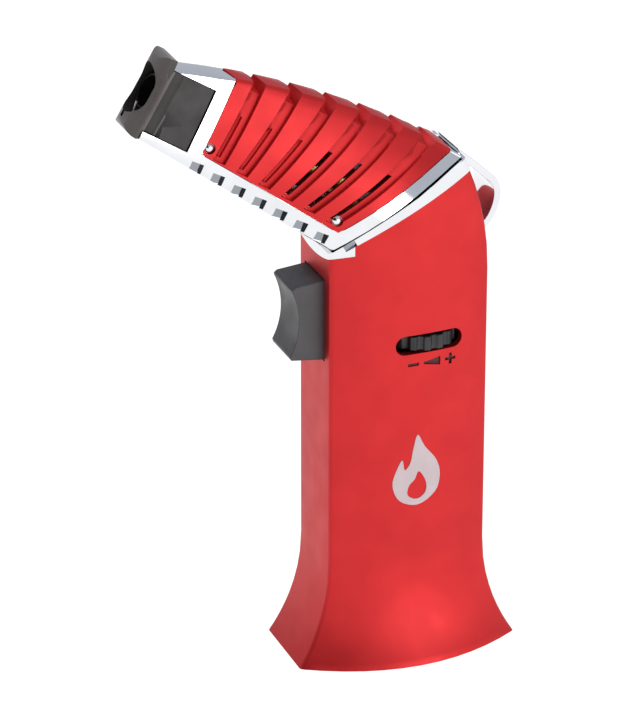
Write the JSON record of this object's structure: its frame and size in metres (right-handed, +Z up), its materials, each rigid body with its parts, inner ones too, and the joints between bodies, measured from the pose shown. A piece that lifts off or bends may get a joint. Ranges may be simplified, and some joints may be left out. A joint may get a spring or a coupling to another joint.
{
  "type": "butane torch",
  "caption": "Pocket-size butane jet torch: a red flared handle with a piezo trigger and gas wheel, and a vented head with a chrome frame and dark nozzle.",
  "frame": {"origin": "centre of the face that the torch stands on", "axes": "+Z up along the handle; the nozzle points toward -X; the gas wheel's slot faces -Y"},
  "size_m": [0.093, 0.0386, 0.1539],
  "materials": {
    "red_paint": "satin soft-touch red paint",
    "chrome_plate": "bright chrome plating",
    "guard_coating": "matt warm dark grey coating",
    "trigger_plastic": "matt black moulding",
    "black_plastic": "matt black moulding",
    "dark_plastic": "matt dark grey moulding",
    "nylon": "natural nylon",
    "steel": "plain steel",
    "brass": "turned brass",
    "rubber": "black rubber",
    "wick": "woven wick",
    "wire_sleeve": "white wire sleeve",
    "ceramic": "glazed ceramic",
    "white_print": "white screen print"
  },
  "bodies": {
    "torch": {"handle_shell_left": "red_paint", "handle_shell_right": "red_paint", "base_plate": "dark_plastic", "base_screws": "steel", "flame_mark": "white_print", "tank_body": "nylon", "tank_cap": "nylon", "fill_valve_body": "brass", "fill_valve_spring": "steel", "fill_valve_seal": "rubber", "fill_valve_retainer": "brass", "outlet_valve_body": "brass", "valve_bonnet": "brass", "valve_seal": "rubber", "valve_spring": "steel", "gas_wick": "wick", "gas_hose": "rubber", "chassis": "nylon", "chassis_screws": "steel", "lever_pin": "steel", "piezo_body": "nylon", "piezo_spring": "steel", "ignition_wire": "wire_sleeve", "trim_collar": "chrome_plate", "head_frame": "chrome_plate", "vent_cover": "red_paint", "cover_screws": "chrome_plate", "rear_guard": "chrome_plate", "rear_bulkhead": "steel", "front_bulkhead": "steel", "gas_jet": "brass", "burner_body": "brass", "flame_tube": "steel", "flame_disc": "ceramic", "ceramic_insulator": "ceramic", "spark_electrode": "steel", "nozzle_guard": "guard_coating"},
    "fill_stem": {"fill_valve_stem": "steel"},
    "flow_stem": {"valve_stem": "steel"},
    "wheel": {"gas_wheel": "black_plastic"},
    "lever": {"valve_lever": "steel"},
    "trigger_unit": {"trigger": "trigger_plastic", "piezo_plunger": "black_plastic"}
  },
  "joints": [
    {"name": "trigger_slide", "type": "slide", "parent": "torch", "child": "trigger_unit", "axis": [1, 0, 0], "range_m": [0, 0.005], "stiffness_N_per_m": 1200, "springref_m": -0.002, "deforming": ["piezo_spring"]},
    {"name": "lever_pivot", "type": "hinge", "parent": "torch", "child": "lever", "pos_m": [0.0116, -0.004, 0.0831], "axis": [0, 1, 0], "range_deg": [0, 6]},
    {"name": "flow_stem_lift", "type": "slide", "parent": "torch", "child": "flow_stem", "axis": [0, 0, 1], "range_m": [0, 0.0008], "deforming": ["valve_spring"]},
    {"name": "wheel_turn", "type": "hinge", "parent": "torch", "child": "wheel", "pos_m": [0.0045, -0.004, 0.0797], "axis": [0, 0, 1], "range_deg": [-120, 120]},
    {"name": "fill_press", "type": "slide", "parent": "torch", "child": "fill_stem", "axis": [0, 0, 1], "range_m": [0, 0.0015], "stiffness_N_per_m": 800, "springref_m": -0.001, "deforming": ["fill_valve_spring"]}
  ],
  "couplings": [
    {"joint": "lever_pivot", "follows": "trigger_slide", "rad_per_m": 20},
    {"joint": "flow_stem_lift", "follows": "trigger_slide", "ratio": 0.15}
  ]
}
